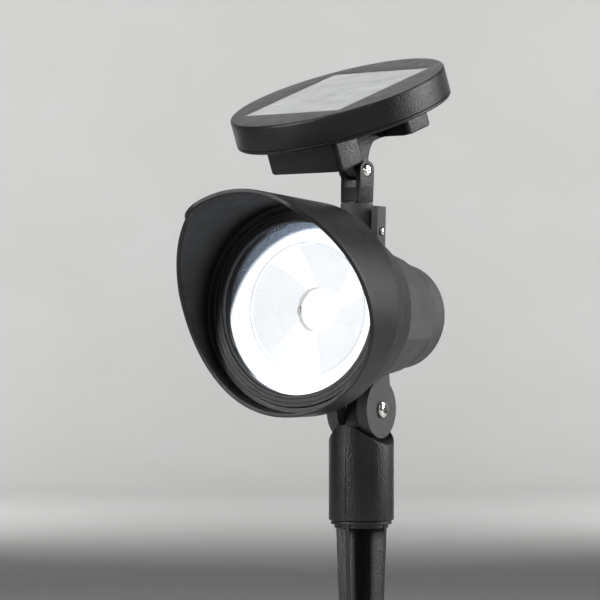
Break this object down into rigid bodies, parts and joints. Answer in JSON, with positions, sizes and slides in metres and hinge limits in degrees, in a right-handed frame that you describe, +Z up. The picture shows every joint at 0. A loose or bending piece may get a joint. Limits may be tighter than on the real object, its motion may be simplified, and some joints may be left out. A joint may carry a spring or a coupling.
{
  "type": "solar garden spotlight",
  "caption": "Solar garden spotlight on a cross-ribbed ground stake: tilting hooded lamp head, swivelling arm and a round tilting solar panel.",
  "frame": {"origin": "on the stake's centre line at ground level, in the underside plane of the spike's lower stop ring", "axes": "+Z up along the stake; the lamp shines towards -Y; X runs along the lamp's tilt hinge"},
  "size_m": [0.1034, 0.1425, 0.3667],
  "materials": {
    "spike_plastic": "satin moulded black plastic",
    "tube_plastic": "satin moulded black plastic",
    "housing_plastic": "fine-textured charcoal plastic",
    "hood_plastic": "finely grained black plastic",
    "panel_plastic": "satin black plastic",
    "arm_plastic": "satin black plastic",
    "knob_plastic": "satin black plastic",
    "switch_case_plastic": "satin black plastic",
    "bright_steel": "bright nickel-plated steel",
    "nut_steel": "zinc-plated steel",
    "contact_spring_metal": "nickel-plated spring steel",
    "friction_nylon": "natural nylon",
    "seal_rubber": "soft black rubber",
    "clear_lens": "clear polished plastic",
    "cell_cover": "clear satin encapsulant",
    "mirror_coat": "vacuum-metallised faceted reflector",
    "emitter_silicone": "frosted silicone dome",
    "led_phosphor": "phosphor-coated emitters",
    "led_board_metal": "white solder mask on aluminium",
    "spreader_metal": "plain sheet aluminium",
    "battery_sleeve": "shrink sleeve",
    "circuit_board": "green solder mask",
    "chip_epoxy": "black epoxy",
    "laminate_board": "silver-grey board",
    "silicon_wafer": "grey silicon under resin",
    "busbar_silver": "printed silver"
  },
  "bodies": {
    "spike": {"ground_spike": "spike_plastic"},
    "tube": {"stake_tube": "tube_plastic", "knuckle_washers": "friction_nylon"},
    "lamp": {"knuckle_screw": "bright_steel", "knuckle_nut": "nut_steel", "rear_housing": "housing_plastic", "front_collar": "hood_plastic", "hood": "hood_plastic", "bezel_ring": "hood_plastic", "lens": "clear_lens", "lens_gasket": "seal_rubber", "reflector": "mirror_coat", "emitter_dome": "emitter_silicone", "led_chips": "led_phosphor", "led_board": "led_board_metal", "heat_spreader": "spreader_metal", "board_screws": "bright_steel", "housing_seal": "seal_rubber", "housing_screws": "bright_steel", "lock_screw": "bright_steel"},
    "arm": {"swivel_fork": "arm_plastic", "panel_screw": "bright_steel", "panel_nut": "nut_steel", "swivel_washer": "bright_steel", "swivel_screw": "bright_steel"},
    "panel": {"panel_shell": "panel_plastic", "panel_base": "panel_plastic", "panel_seal": "seal_rubber", "base_screws": "bright_steel", "battery": "battery_sleeve", "battery_contacts": "contact_spring_metal", "charge_board": "circuit_board", "charge_chips": "chip_epoxy", "charge_board_screws": "bright_steel", "switch_case": "switch_case_plastic", "solar_laminate": "laminate_board", "solar_wafers": "silicon_wafer", "solar_busbars": "busbar_silver", "solar_cover": "cell_cover"},
    "switch": {"switch_slider": "knob_plastic"}
  },
  "joints": [
    {"name": "stake_swivel", "type": "hinge", "parent": "spike", "child": "tube", "pos_m": [0, 0, 0.014], "axis": [0, 0, 1], "continuous": true},
    {"name": "lamp_tilt", "type": "hinge", "parent": "tube", "child": "lamp", "pos_m": [0, 0, 0.0546], "axis": [1, 0, 0], "range_deg": [-48, 38]},
    {"name": "arm_swivel", "type": "hinge", "parent": "lamp", "child": "arm", "pos_m": [0, -0.00342, 0.16404], "axis": [0, 0.0419, 0.9991], "range_deg": [-170, 170]},
    {"name": "panel_tilt", "type": "hinge", "parent": "arm", "child": "panel", "pos_m": [0, -0.00342, 0.16404], "axis": [0.9646, -0.2636, 0.0111], "range_deg": [-57, 12]},
    {"name": "switch_slide", "type": "slide", "parent": "panel", "child": "switch", "axis": [0.9646, -0.2636, 0.0111], "range_m": [0, 0.003]}
  ]
}
